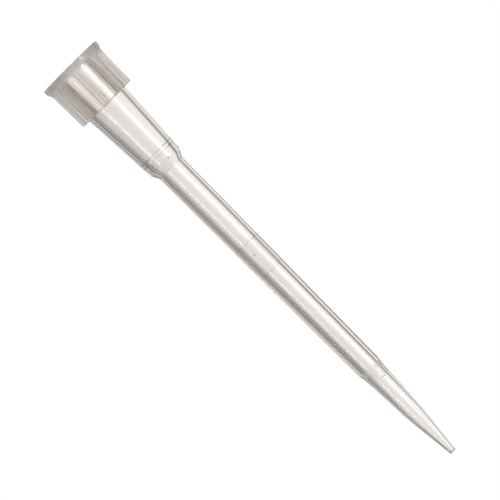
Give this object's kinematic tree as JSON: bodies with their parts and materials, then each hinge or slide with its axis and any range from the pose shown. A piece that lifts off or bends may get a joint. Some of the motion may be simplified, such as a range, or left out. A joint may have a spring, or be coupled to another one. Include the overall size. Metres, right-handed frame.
{
  "type": "pipette tip",
  "caption": "Clear moulded pipette tip: flanged mouth, ribbed collar, conical socket that pushes onto a pipette, long tapering tube and fine point.",
  "frame": {"origin": "centre of the mouth's flat rim, which the tip stands on", "axes": "+Z along the bore, from the mouth up to the point; +X and +Y each through the middle of a rib"},
  "size_m": [0.0062, 0.0062, 0.046],
  "materials": {
    "clear_polypropylene": "clear natural polypropylene, slightly hazy, smooth moulded gloss, with two matte graduation bands"
  },
  "bodies": {
    "root": {"pipette_tip": "clear_polypropylene"}
  },
  "joints": []
}
